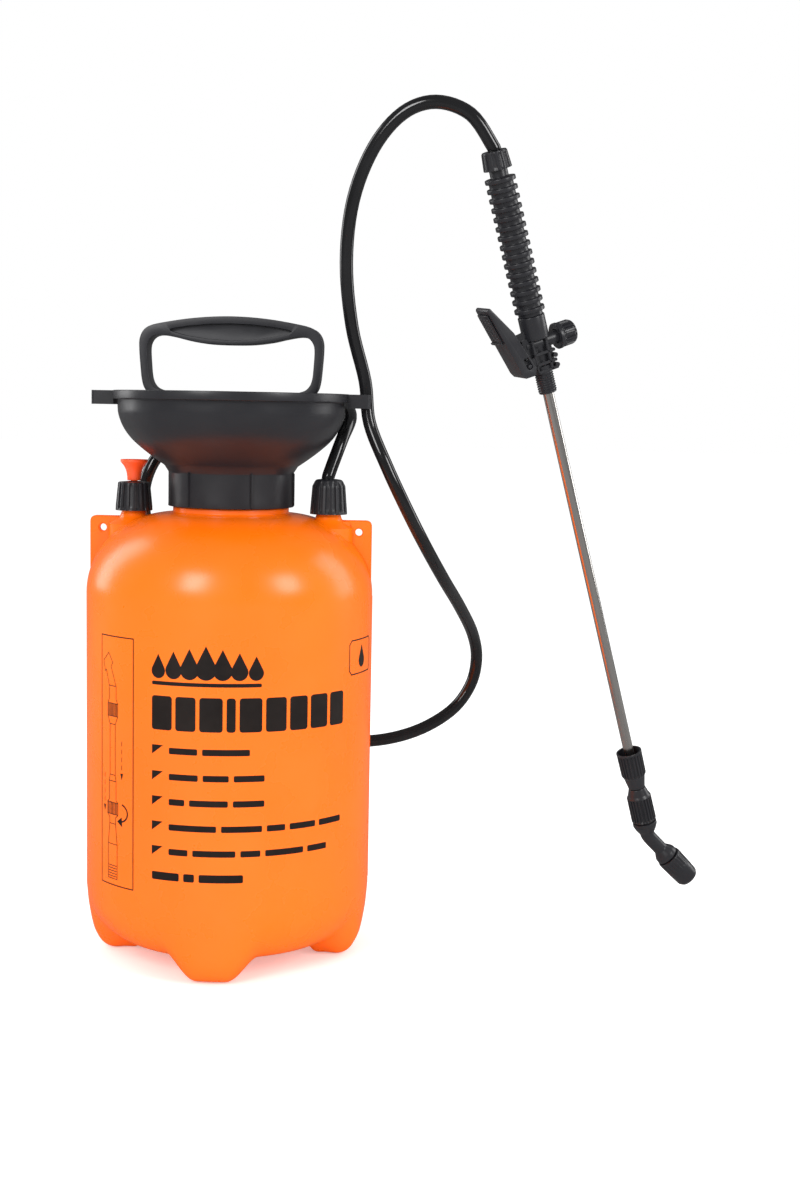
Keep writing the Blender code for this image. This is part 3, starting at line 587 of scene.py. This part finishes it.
def add_print():
    """The marks printed on the front of the tank, without letters."""
    shapes = []
    # a row of drops over a line, and a row of plain blocks, where a title would be
    for k, size in enumerate((15, 17, 19, 21, 19, 17, 15)):
        shapes.append(drop(-20.2 + 6.3 * k, 192.6, size))
    shapes.append(bar(-22.9, 19.7, 188.6, 190.9, 0.8))
    left = -22.9
    for width in (8.4, 7.9, 8.8, 3.4, 8.6, 8.2, 7.6, 8.2, 7.7):
        shapes.append(bar(left, left + width, 161, 182, 1.6))
        left += width + 1.45
    # five lines of plain dashes, each with a pointed mark
    rows = ((148.4, (8.2, 13.2)), (132.3, (8.4, 7.2, 8.6)), (116.7, (4.6, 10.8, 8.8)),
            (101, (13.6, 11.4, 5.4, 8.4, 8.6)),
            (85.6, (5.6, 12, 5.6, 11.6, 6.8)))
    for z, words in rows:
        shapes.append(patch([(-22.8, z + 3.2), (-18.1, z + 3.2), (-22.8, z - 2.6)]))
        left = -15.6
        for word in words:
            right = left + word * 1.36
            shapes.append(bar(left, right, z - 1.9, z + 2.0, 0.7))
            left = right + 1.9
    for left, right in ((-22.7, -11.4), (-9.6, -5.4), (-3.6, 13.2)):
        shapes.append(bar(left, right, 67.6, 72.6, 0.8))
    # a frame with a drawing of a lance, its nuts and the way that they turn
    shapes += stroke([(-51.4, 58), (-51.4, 215), (-31.8, 215), (-31.8, 58), (-51.4, 58)], 0.7)
    c = -43.6
    for half in (-1, 1):
        outer = [(c + half * x, z) for x, z in ((2.9, 62), (2.9, 84), (1.9, 97), (1.9, 101), (3.4, 103),
                                                (3.4, 110.5), (2.2, 112), (2.2, 124), (1.7, 128),
                                                (1.7, 160), (3.2, 165), (3.2, 173), (2.2, 176), (2.2, 184))]
        shapes += stroke(outer)
    for z, half in ((62, 2.9), (84, 2.9), (97, 1.9), (103, 3.4), (110.5, 3.4), (124, 2.2), (128, 1.7),
                    (160, 1.7), (165, 3.2), (173, 3.2), (184, 2.2)):
        shapes += stroke([(c - half, z), (c + half, z)])
    for k in range(7):
        x = c - 2.7 + 0.9 * k
        shapes += stroke([(x, 103.5), (x, 110)], 0.75)
        x = x * 0.93 + c * 0.07
        shapes += stroke([(x, 165.5), (x, 172.5)], 0.75)
    for k in range(5):
        shapes += stroke([(c - 2.4, 63.5 + 1.7 * k), (c + 2.4, 63.5 + 1.7 * k)], 0.5)
    shapes += stroke([(c - 2.2, 184), (c - 4.3, 193.5), (c - 5.2, 192.5), (c - 6.2, 199), (c - 2.6, 204.5),
                      (c + 0.2, 198.5), (c - 1.0, 196.2), (c + 2.2, 184)])
    for x, top in ((c + 5.6, 150), (c - 5.4, 128)):
        for k in range(4):
            shapes += stroke([(x, top - 5 * k), (x, top - 5 * k - 2.6)])
        shapes.append(arrow_head(x, top - 20, 4.2, 1.3))
    turn_arrow = [(c + 4.6 + 4.2 * math.cos(math.radians(a)), 105 + 5.6 * math.sin(math.radians(a)))
                  for a in range(70, -81, -15)]
    shapes += stroke(turn_arrow, 1.0)
    shapes.append(patch([(c + 3.0, 99.2), (c + 5.6, 102.4), (c + 5.9, 96.2)]))
    # a small rounded frame with one drop at the right
    frame_line = [(61.6, 193), (61.6, 209.5), (63.2, 212), (80.8, 212), (82.3, 209.5), (82.3, 193),
                  (80.8, 190.4), (63.2, 190.4), (61.6, 193)]
    shapes += stroke(frame_line, 0.8)
    shapes.append(drop(71.9, 194, 14.5))
    obj = piece("printed_marks", merged(*shapes), TANK, INK, "root")
    for polygon in obj.data.polygons:
        if polygon.normal.dot((polygon.center.x, polygon.center.y, 0)) < 0:
            polygon.flip()


# ---------------------------------------------------------------- funnel

CLIP_X = 87.4
CLIP_R = 5.45


def add_funnel():
    """The funnel's bowl and collar, with an ear and hose clip on each side."""
    outside = smooth([(43.0, 319.0), (51, 324.6), (58.5, 330.5), (63.4, 335), (67.1, 339.5), (69.8, 344),
                      (71.5, 348.2), (72.6, 352.4), (72.9, 356.6)], 4)
    inside = smooth([(70.3, 356.6), (69.1, 349), (65, 341.2), (56.9, 332.8), (42.5, 322.4), (36, 318.6)], 4)
    outline = [(36.4, 293, 0.3), (40.6, 293, 0.5), (40.3, 297, 0), (40.2, 314.6, 1.4)]
    outline += [(r, z, 0) for r, z in outside]
    outline += [(72.9, 360.7, 0.5), (76, 360.9, 0.5), (76, 366.3, 0.9), (72.4, 366.3, 0.8),
                (70.4, 363.4, 0.5)]
    outline += [(r, z, 0) for r, z in inside]
    outline += [(31, 317.5, 0.4), (27, 317.5, 0.4), (27, 298, 0.3), (30, 298, 0.3), (30, 312, 0.5),
                (36.4, 312, 0.5)]
    bowl = turned(filleted(outline), 160)
    extras = []
    for side in (-1, 1):
        clip = [(CLIP_X + CLIP_R * math.cos(a), CLIP_R * math.sin(a))
                for a in (math.radians(-62 - 236 * k / 20) for k in range(21))]
        corners = filleted([(70.8, -9), (88.4, -9, 2), (90, -7.6, 1)]) + clip + filleted(
            [(90, 7.6, 1), (88.4, 9, 2), (70.8, 9)])
        ear = bmesh.new()
        top = [ear.verts.new((side * x, y, 366.1)) for x, y in corners]
        bottom = [ear.verts.new((side * x, y, 357.2)) for x, y in corners]
        ear.faces.new(top)
        ear.faces.new(bottom[::-1])
        for i in range(len(corners)):
            j = (i + 1) % len(corners)
            ear.faces.new((top[i], bottom[i], bottom[j], top[j]))
        edges = [e for e in ear.edges if e.calc_face_angle(0) > math.radians(40)]
        bmesh.ops.bevel(ear, geom=edges, offset=0.45, segments=2, affect="EDGES")
        extras.append(ear)
    for k in range(6):
        rib = box((39.4, -0.9, 293.6), (41.5, 0.9, 315.2))
        bmesh.ops.bevel(rib, geom=rib.edges[:], offset=0.45, segments=2, affect="EDGES")
        extras.append(moved(rib, turn(-90 + 26 + 60 * k, "Z")))
    piece("funnel_bowl", merged(bowl, *extras), TANK, BLACK, "root", ["funnel"])


# ---------------------------------------------------------------- pump

HANDLE_OUTER = [(0, 414.2), (14, 413.7), (28, 412.3), (42, 410), (51, 407.9), (55.8, 404.8), (58.3, 399.6),
                (58.6, 393), (57.9, 383), (56.8, 373), (54.6, 367), (49.5, 363), (38, 359.8), (24, 355),
                (12, 350), (0, 348)]
HANDLE_INNER = [(0, 396.3), (14, 396.7), (26, 398.3), (36, 400.6), (44.6, 402.0), (49.7, 401.0),
                (52.7, 397.6), (53.7, 393), (53.3, 384), (52.4, 375), (50.2, 370), (46, 367.2), (36, 365.2),
                (24, 362), (12, 358.5), (0, 357)]


def add_handle():
    outer = smooth(mirrored(HANDLE_OUTER), 5, closed=True)
    inner = smooth(mirrored(HANDLE_INNER), 5, closed=True)
    bm = bmesh.new()
    loops = []
    for outline, y in ((outer, -9), (outer, 9), (inner, 9), (inner, -9)):
        loops.append([bm.verts.new((x, y, z)) for x, z in outline])
    for this, following in zip(loops, loops[1:] + loops[:1]):
        for i in range(len(outer)):
            j = (i + 1) % len(outer)
            bm.faces.new((this[i], this[j], following[j], following[i]))
    lens = filleted(mirrored([(0, 409.6), (14, 409.1), (28, 407.7), (42.5, 405.2), (28, 401.6), (14, 399.6),
                              (0, 398.8)]),
                    2.5)
    cuts = [slab(lens, *sorted((side * 6.2, side * 12))) for side in (-1, 1)]
    bm = cut(bm, cuts)
    hub = turned(filleted([(0, 358), (11.5, 355, 1), (11.9, 340), (11.9, 326.8), (6.3, 326.8), (6.3, 340),
                           (0, 340)]), 64)
    lugs = [moved(box((8, -3.4, 326.8), (15.2, 3.4, 329.5)), turn(angle, "Z")) for angle in (90, 270)]
    piece("pump_handle", bm, TANK, GRAINED, "plunger", ["handle"], bevel=1.5)
    piece("handle_hub", merged(hub, *lugs), TANK, BLACK, "plunger", bevel=0.3)


def add_pump_cap():
    outline = filleted([(9.4, 324, 0.3), (15.8, 324, 0.3), (15.8, 333, 0.4), (18.2, 333, 0.4),
                        (18.2, 324.5, 0.4), (31.6, 324, 0.8), (32, 320.1, 0.4), (26.4, 320.1, 0.3),
                        (26.4, 301, 0.4), (22.4, 301, 0.4), (22.4, 316.3, 0.2), (9.4, 316.3, 0.2)])
    shapes = [turned(levels(outline, 1.0), 144, fluted(36, 0.8, 319, 325, 28))]
    for k in range(8):
        rib = box((18.0, -0.8, 324), (29, 0.8, 327.5))
        shapes.append(moved(rib, turn(45 * k + 10, "Z")))
    for middle in (150, 330):
        hook = turned(filleted([(12.5, 330), (16.6, 330), (16.6, 333), (12.5, 333)], 0.3), 90)
        gone = []
        for vertex in hook.verts:
            around = math.degrees(math.atan2(vertex.co.y, vertex.co.x))
            if abs((around - middle + 180) % 360 - 180) > 18.5:
                gone.append(vertex)
        bmesh.ops.delete(hook, geom=gone, context="VERTS")
        shapes.append(hook)
    piece("pump_screw_cap", merged(*shapes), TANK, BLACK, "pump", ["pump_cap"])


# ---------------------------------------------------------------- relief valve and outlet

def add_shoulder_fittings():
    left = TANK @ shift(-BOSS_X, 0, 0)
    right = TANK @ shift(BOSS_X, 0, 0)
    nut = filleted([(8.4, 289), (11.9, 289, 0.4), (11.8, 292, 0), (10.3, 307.3, 1.1), (2.7, 308, 0.3),
                    (2.7, 304.5), (8.4, 304.5)], 0.4)
    ribs = fluted(16, 1.05, 289.2, 307.9, 9.2, 0.45, 2.2)
    piece("relief_nut_ribbed", turned(levels(nut, 1.2), 256, ribs), left, BLACK, "root", ["relief_nut"])
    nut = filleted([(8.4, 289), (12.1, 289, 0.4), (11.9, 292, 0), (10.7, 307.2, 2.2), (8.6, 311.2, 2.2),
                    (5.2, 311.7, 0.3), (4.7, 311.3, 0.2), (4.7, 305.4), (8.4, 305.4)], 0.4)
    ribs = fluted(16, 1.1, 289.2, 310.6, 8.6, 0.45, 2.6)
    piece("outlet_nut_ribbed", turned(levels(nut, 1.2), 256, ribs), right, BLACK, "root", ["outlet_nut"])
    knob = [(0, 321.2, 0), (7.4, 321.5, 0.3), (8.75, 322, 0.25), (8.75, 320.4, 0.5), (6.5, 317.6, 0),
            (5.4, 315.4, 0), (4.75, 313, 0), (4.45, 310.6, 0), (4.4, 308.4, 0.3), (2.2, 308.4, 0.2),
            (2.2, 289.5, 0.2), (0, 289.5, 0)]
    piece("relief_pull_knob", turned(filleted(knob), 72), left, RED, "relief_valve", ["relief_knob"])


# ---------------------------------------------------------------- grip and valve

RIB_COUNT = 15
RIB_PITCH = 5.84
FIRST_RIB_Z = 21.0


def add_grip():
    """The ribbed sleeve and the nut that holds the hose in it."""
    outline = [(3.6, 116, 0.2), (5.75, 116, 0.3), (5.75, 104.8, 0.3), (7.8, 104.2, 0.3)]
    for i in reversed(range(RIB_COUNT)):
        middle = FIRST_RIB_Z + i * RIB_PITCH
        outline += [(7.7, middle + 1.55, 0.25), (9.65, middle + 1.3, 0.6), (9.65, middle - 1.3, 0.6),
                    (7.7, middle - 1.55, 0.25)]
    outline += [(7.8, 17.2, 0.2), (6.3, 17.2, 0.2), (6.3, 101, 0), (3.6, 103, 0)]
    piece("grip_sleeve", turned(filleted(outline), 96), LANCE, BLACK, "root", ["grip"])

    nut = filleted([(6.3, 109.3, 0.3), (8.95, 109.3, 0.4), (8.1, 119.6, 0.5), (7.5, 120.5, 0.4),
                    (4.7, 120.5, 0.3), (4.7, 118.6, 0.2), (6.3, 118.6, 0.2)])
    ribs = fluted(12, 0.75, 109.5, 120.2, 7.6, 0.35, 1.2, 1.1)
    piece("hose_nut_ribbed", turned(levels(nut, 0.8), 216, ribs), LANCE, BLACK, "root", ["hose_nut"])


def add_valve():
    """The valve's housing with its open ladder frame, its knob, and the trigger's pin."""
    barrel = turned(filleted([(3, 40, 0.2), (6, 40, 0.3), (6, 17.2, 0.2), (8.55, 16.9, 0.6), (8.55, 2.2, 0.6),
                              (4.0, 1.2, 0.3), (4.0, -19.6, 0.3), (3, -19.6, 0.2)]), 96)
    thread = [(3.8, -15.5, 0), (5.6, -15.5, 0)]
    for k in range(8):
        z = -21.0 - 1.55 * k
        thread += [(5.55, z + 0.5, 0.1), (6.1, z, 0.15), (5.55, z - 0.5, 0.1)]
    thread += [(5.7, -33.0, 0.2), (5.5, -33.4, 0.2), (4.9, -33.4, 0.2), (4.9, -31, 0), (3.8, -31, 0)]
    tail = turned(filleted(thread), 72)
    rails = []
    for side in (-1, 1):
        y = sorted((side * 2.9, side * 5.9))
        for low, high in ((-8.0, -6.1), (-14.6, -12.7), (-19.4, -17.5)):
            rails.append(box((-6.8, y[0], low), (8.8, y[1], high)))
        rails.append(box((3.1, y[0], -19.4), (5.0, y[1], 2.4)))
        rails.append(box((-6.8, y[0], -19.4), (-5.2, y[1], 2.4)))
    core = box((-6.4, -3.2, -19.2), (8.2, 3.2, 2.8))
    lug = box((-15, -5.6, -15.2), (-5, 5.6, -8.3))
    webs = [box((-12, y - 0.6, -9), (-6, y + 0.6, 4)) for y in (-2.6, 2.6)]
    catch = slab([(-16, 4.4), (-14.4, 3.5), (-6, 3.5), (-6, 8.3), (-16, 7.4)], -2.2, 2.2)
    beads = [along_y(rod(1.5, -5.4, 5.4), (8.5, 0, z)) for z in (-10.8, -17.2)]
    boss = turned(filleted([(1.75, -9.5, 0), (3.7, -9.5, 0.4), (4.2, 0, 0), (4.3, 8.6, 0), (4.3, 20, 0.3),
                            (2.75, 20, 0), (2.75, 5.4, 0), (1.75, 5.4, 0)]), 48)
    boss = moved(boss, at(0, 0, -0.8) @ turn(90, "Y"))
    for shape in rails + [core, lug]:
        edges = shape.edges[:]
        bmesh.ops.bevel(shape, geom=edges, offset=0.35, segments=2, affect="EDGES")
    piece("valve_housing", merged(barrel, tail, core, lug, catch, boss, *webs, *rails, *beads), LANCE,
          BLACK, "root",
          ["valve_body"])

    knob = filleted([(4.6, 13.9, 0.3), (8.4, 13.9, 0.5), (8.4, 16.0, 0.5), (7.7, 16.5, 0.2),
                     (8.05, 17.4, 0.3), (8.0, 24.2, 0.8), (6.9, 26.3, 1.2), (3.6, 26.7, 0.4),
                     (3.2, 26.1, 0.3), (0, 26, 0), (0, 20.8, 0), (4.6, 20.8, 0)])
    ribs = fluted(18, 0.95, 16.8, 26.2, 6.4, 0.35, 1.0)
    piece("valve_knob", turned(levels(knob, 0.8), 216, ribs), VALVE, BLACK, "root", ["valve_cap"])
    pin = turned(filleted([(0, -8.6, 0), (1.25, -8.6, 0.3), (1.25, 8.6, 0.3), (0, 8.6, 0)]), 32)
    piece("trigger_pin_dark", along_y(pin, PIN), LANCE, BLACK, "root", ["trigger_pin"])


def add_trigger():
    """The trigger lever and the ribbed lock that slides on it."""
    outside = filleted([(-7.2, 45.4), (-6.4, 46.4), (-4.8, 46.7), (1.5, 24.1), (3.4, -3.3), (0.9, -7.3),
                        (-6.15, -5.0), (-7.2, -1.3)], 0.8)
    hollow = [(-5.4, 42), (4.0, 42), (12, 20), (12, -3.0), (4.0, -4.4), (0, -5.2), (-5.4, -3.4)]
    slot = slab(filleted([(-1.9, 6.2), (1.9, 6.2), (1.9, -1.9), (-1.9, -1.9)], 1.8, arcs=6), -12, 12)
    opening = box((-9, -1.8, 24.4), (-4, 1.8, 32.6))
    shape = cut(slab(outside, -8, 8), [slab(hollow, -6.4, 6.4), opening, slot])
    piece("trigger_lever", shape, TRIGGER, BLACK, "trigger", ["trigger"], bevel=0.45)

    pad = [box((-8.5, -6.4, 21.9), (-7.5, 6.4, 43)), box((-8.0, -1.5, 24.8), (-4.6, 1.5, 28.3)),
           box((-5.1, -3, 24), (-1.5, 3, 30))]
    for k in range(9):
        for y in (-4.2, 0, 4.2):
            pad.append(box((-8.8, y - 1.7, 24.2 + 1.9 * k), (-8.3, y + 1.7, 25.1 + 1.9 * k)))
    pad.append(box((-9.6, -6.4, 21.7), (-7.5, 6.4, 23.2)))
    piece("lock_slider", merged(*pad), TRIGGER, BLACK, "trigger_lock", ["trigger_lock"], bevel=0.18)


# ---------------------------------------------------------------- lance tube and nozzle

def add_lance():
    tube = filleted([(3.5, -15.9, 0.2), (3.5, -338, 0.2), (2.9, -338, 0.2), (2.9, -15.9, 0.2)])
    piece("lance_pipe", turned(tube, 64), LANCE, STEEL, "root", ["lance_tube"])

    nut = filleted([(7.5, -290.5, 0.2), (8.75, -290.5, 0.3), (8.6, -293, 0), (8.45, -307.6, 0.5),
                    (7.3, -309.6, 0.5), (5.7, -317.8, 0.4), (3.8, -317.8, 0.2), (3.8, -306.4, 0.3),
                    (7.0, -306.4, 0.3)])
    ribs = fluted(22, 0.9, -308.6, -291.6, 7.9, 0.3, 0.9)
    piece("tube_nut_knurled", turned(levels(nut, 0.9), 224, ribs), LANCE, BLACK, "tube_nut", ["tube_nut"])
    nut = filleted([(3.8, -318.4, 0.2), (5.7, -318.4, 0.4), (7.2, -323.2, 0.5), (8.35, -325.2, 0.5),
                    (8.5, -343, 0.4), (6.8, -343.4, 0.2), (6.8, -329, 0.2), (3.8, -329, 0.2)])
    ribs = fluted(22, 0.9, -342.9, -325.0, 7.9, 0.3, 0.9)
    piece("elbow_nut_knurled", turned(levels(nut, 0.9), 224, ribs), LANCE, BLACK, "root", ["elbow_nut"])


def swept_elbow(steps=48):
    """The elbow's curved neck: a round section carried from the lance's axis round to the nozzle's axis."""
    start = Vector((0, 0, -353.6))
    bend = Vector((0, 0, -356))
    outward = (turn(-25, "Z") @ turn(151.5, "Y")).to_3x3() @ Vector((0, 0, 1))
    bm = bmesh.new()
    rings = []
    side = Vector((0, 0, -1)).cross(outward).normalized()
    end = bend + outward * 4.2
    for k in range(9):
        t = k / 8
        centre = start * (1 - t) ** 2 + bend * 2 * t * (1 - t) + end * t * t
        direction = ((bend - start).normalized() * (1 - t) + outward * t).normalized()
        across = side.cross(direction).normalized()
        rings.append([bm.verts.new(centre + (side * math.cos(a) + across * math.sin(a)) * 4.95)
                      for a in (2 * math.pi * i / steps for i in range(steps))])
    for this, following in zip(rings, rings[1:]):
        for i in range(steps):
            j = (i + 1) % steps
            bm.faces.new((this[i], this[j], following[j], following[i]))
    return bm


def add_nozzle():
    """The bend below the lance tube and the spray cap on its end."""
    inlet = turned(filleted([(3.9, -333, 0.2), (6.3, -333, 0.2), (6.3, -343.8, 0.2), (6.3, -344.6, 0.2),
                             (8.2, -344.8, 0.4), (8.3, -347.2, 0.7), (7.0, -350.4, 0.9), (4.95, -353.9, 0),
                             (4.95, -354.2, 0), (3.9, -354.2, 0)]), 72)
    arm = turned(filleted([(1.9, 1, 0), (4.95, 3.6, 0), (4.95, 14.2, 1.5), (6.5, 16.6, 1.5), (7.6, 18.6, 0.8),
                           (7.9, 21.0, 0.5), (7.6, 21.9, 0.3), (5.6, 21.9, 0.2), (5.6, 36, 0.2),
                           (1.9, 36, 0.2)]), 72)
    arm = moved(arm, at(0, 0, -356) @ turn(-25, "Z") @ turn(151.5, "Y"))
    piece("nozzle_bend", merged(inlet, swept_elbow(), arm), LANCE, BLACK, "elbow", ["nozzle_elbow"])
    cap = filleted([(0.9, 38.5, 0), (6.1, 38.5, 0), (6.1, 22.8, 0.2), (8.5, 22.8, 0.4), (8.7, 24.6, 0.3),
                    (8.4, 36, 0), (8.0, 43, 0.9), (6.5, 45.4, 0.9), (1.6, 45.4, 0.3), (0.9, 44.6, 0.2)])
    ribs = fluted(22, 0.3, 23.6, 33, 7.9, 0.45, 1.2)
    piece("spray_cap", turned(levels(cap, 0.9), 180, ribs), NOZZLE, BLACK, "nozzle", ["nozzle_cap"])


# ---------------------------------------------------------------- CAD nodes, floor and lights

def finish_nodes():
    """Gives each CAD node its slot's procedural material."""
    slots = {entry["node"]: entry["material_slot"] for entry in frame["record"]["subparts"]}
    for name, obj in frame["nodes"].items():
        material = SLOT_MATERIALS[slots[name]]
        obj.data.materials.clear()
        obj.data.materials.append(material)


SURROUNDINGS = 0.84  # light from all round
REFLECTED = 0.16  # what shiny surfaces mirror of it, so that they keep their own colour
FLOOR_GLOW = 0.3  # keeps the floor white far from the lamps
FLOOR_REFLECTED = 0.2  # the floor's shade in reflections


def by_ray(tree, kind, otherwise, value):
    """A number that is `value` for one kind of ray and `otherwise` (a number or a socket) for the rest."""
    path = tree.nodes.new("ShaderNodeLightPath")
    choice = tree.nodes.new("ShaderNodeMapRange")
    if isinstance(otherwise, float):
        choice.inputs["To Min"].default_value = otherwise
    else:
        tree.links.new(otherwise, choice.inputs["To Min"])
    choice.inputs["To Max"].default_value = value
    tree.links.new(path.outputs[kind], choice.inputs["Value"])
    return choice.outputs["Result"]


def add_floor():
    """A plain pale floor, which isn't part of the object."""
    material, tree, shader = shader_of("pale_floor")
    tree.links.new(blend_colours(tree, remap(tree, noise(tree, 1.2), 0, 1), (0.9, 0.9, 0.9),
                                 (0.93, 0.93, 0.93)),
                   shader.inputs["Base Color"])
    shader.inputs["Roughness"].default_value = 0.9
    shader.inputs["Specular IOR Level"].default_value = 0.0
    shader.inputs["Emission Color"].default_value = (1, 1, 1, 1)
    shader.inputs["Emission Strength"].default_value = FLOOR_GLOW
    dim = tree.nodes.new("ShaderNodeBsdfDiffuse")
    dim.inputs["Color"].default_value = (FLOOR_REFLECTED, FLOOR_REFLECTED, FLOOR_REFLECTED, 1)
    mix = tree.nodes.new("ShaderNodeMixShader")
    tree.links.new(by_ray(tree, "Is Glossy Ray", 0.0, 1.0), mix.inputs["Fac"])
    tree.links.new(shader.outputs["BSDF"], mix.inputs[1])
    tree.links.new(dim.outputs["BSDF"], mix.inputs[2])
    tree.links.new(mix.outputs["Shader"], tree.nodes["Material Output"].inputs["Surface"])
    bm = bmesh.new()
    bmesh.ops.create_grid(bm, x_segments=1, y_segments=1, size=15)
    mesh = bpy.data.meshes.new("floor")
    bm.to_mesh(mesh)
    bm.free()
    mesh.materials.append(material)
    floor = bpy.data.objects.new("floor", mesh)
    floor.location = (0, 0, -0.0004)
    bpy.context.scene.collection.objects.link(floor)


def add_light(name, spot, width, height, power):
    lamp = bpy.data.lights.new(name, "AREA")
    lamp.shape = "RECTANGLE"
    lamp.size = width
    lamp.size_y = height
    lamp.energy = power
    obj = bpy.data.objects.new(name, lamp)
    obj.location = spot
    obj.rotation_euler = (Vector(LAMPS_AIM) - Vector(spot)).to_track_quat("-Z", "Y").to_euler()
    bpy.context.scene.collection.objects.link(obj)


# Name, place, width, height and watts of each lamp.
LAMPS = [
    ("left_softbox", (-0.66, -1.35, 0.98), 0.46, 0.66, 11),
    ("right_softbox", (1.3, -1.0, 1.0), 0.5, 0.66, 11),
    ("back_left_softbox", (-1.3, 0.5, 0.8), 0.5, 1.2, 7),
    ("back_right_softbox", (1.3, 0.5, 0.8), 0.5, 1.2, 7),
]
LAMPS_AIM = (-0.05, 0, 0.25)


def add_lights():
    """A white studio with two lamps in front and two behind."""
    world = bpy.data.worlds.new("studio")
    world.use_nodes = True
    background = world.node_tree.nodes["Background"]
    background.inputs["Color"].default_value = (1, 1, 1, 1)
    seen = by_ray(world.node_tree, "Is Camera Ray", SURROUNDINGS, 1.0)
    strength = by_ray(world.node_tree, "Is Glossy Ray", seen, REFLECTED)
    world.node_tree.links.new(strength, background.inputs["Strength"])
    bpy.context.scene.world = world
    bpy.context.scene.view_settings.view_transform = "Standard"
    for name, spot, width, height, power in LAMPS:
        add_light(name, spot, width, height, power)


add_camera()
add_hose()
add_tank()
add_print()
add_funnel()
add_handle()
add_pump_cap()
add_shoulder_fittings()
add_grip()
add_valve()
add_trigger()
add_lance()
add_nozzle()
finish_nodes()
add_floor()
add_lights()
